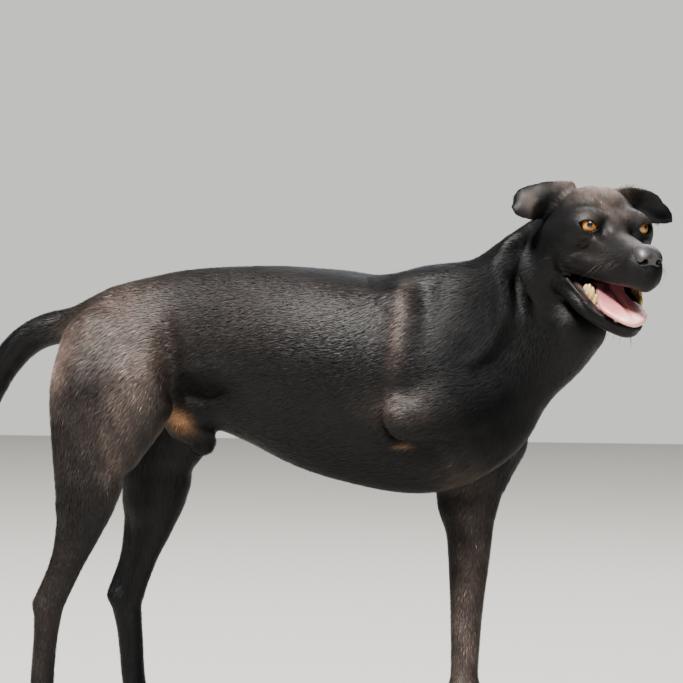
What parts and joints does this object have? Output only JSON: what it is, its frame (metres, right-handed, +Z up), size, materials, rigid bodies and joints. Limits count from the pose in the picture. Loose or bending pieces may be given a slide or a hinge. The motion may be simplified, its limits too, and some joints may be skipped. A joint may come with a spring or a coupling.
{
  "type": "dog",
  "caption": "Life-size still model of a black short-coated dog standing on three legs, head turned right, mouth open.",
  "frame": {"origin": "middle of the bottom of the dog's box, on the floor", "axes": "+X forward from tail to chest, +Y the dog's left, +Z up"},
  "size_m": [0.7828, 0.2342, 0.5808],
  "materials": {
    "coat": "short glossy black hair",
    "nose": "damp pebbled skin",
    "eye": "clear, amber iris",
    "tongue": "wet, pink",
    "claw": "dark horn"
  },
  "bodies": {
    "root": {"chest": "coat", "ear_left": "coat", "ear_right": "coat", "eye_left": "eye", "eye_right": "eye", "foreleg_left_dewclaw": "claw", "foreleg_left_forearm": "coat", "foreleg_left_pastern": "coat", "foreleg_left_paw": "coat", "foreleg_left_paw_claw_1": "claw", "foreleg_left_paw_claw_2": "claw", "foreleg_left_paw_claw_3": "claw", "foreleg_left_paw_claw_4": "claw", "foreleg_left_upper": "coat", "foreleg_right_stump": "coat", "head": "coat", "hindleg_left_metatarsus": "coat", "hindleg_left_paw": "coat", "hindleg_left_paw_claw_1": "claw", "hindleg_left_paw_claw_2": "claw", "hindleg_left_paw_claw_3": "claw", "hindleg_left_paw_claw_4": "claw", "hindleg_left_shank": "coat", "hindleg_left_thigh": "coat", "hindleg_right_metatarsus": "coat", "hindleg_right_paw": "coat", "hindleg_right_paw_claw_1": "claw", "hindleg_right_paw_claw_2": "claw", "hindleg_right_paw_claw_3": "claw", "hindleg_right_paw_claw_4": "claw", "hindleg_right_shank": "coat", "hindleg_right_thigh": "coat", "loin": "coat", "lower_jaw": "coat", "neck": "coat", "nose": "nose", "rump": "coat", "sheath": "coat", "tail_base": "coat", "tail_tip": "coat", "tongue": "tongue"}
  },
  "joints": []
}
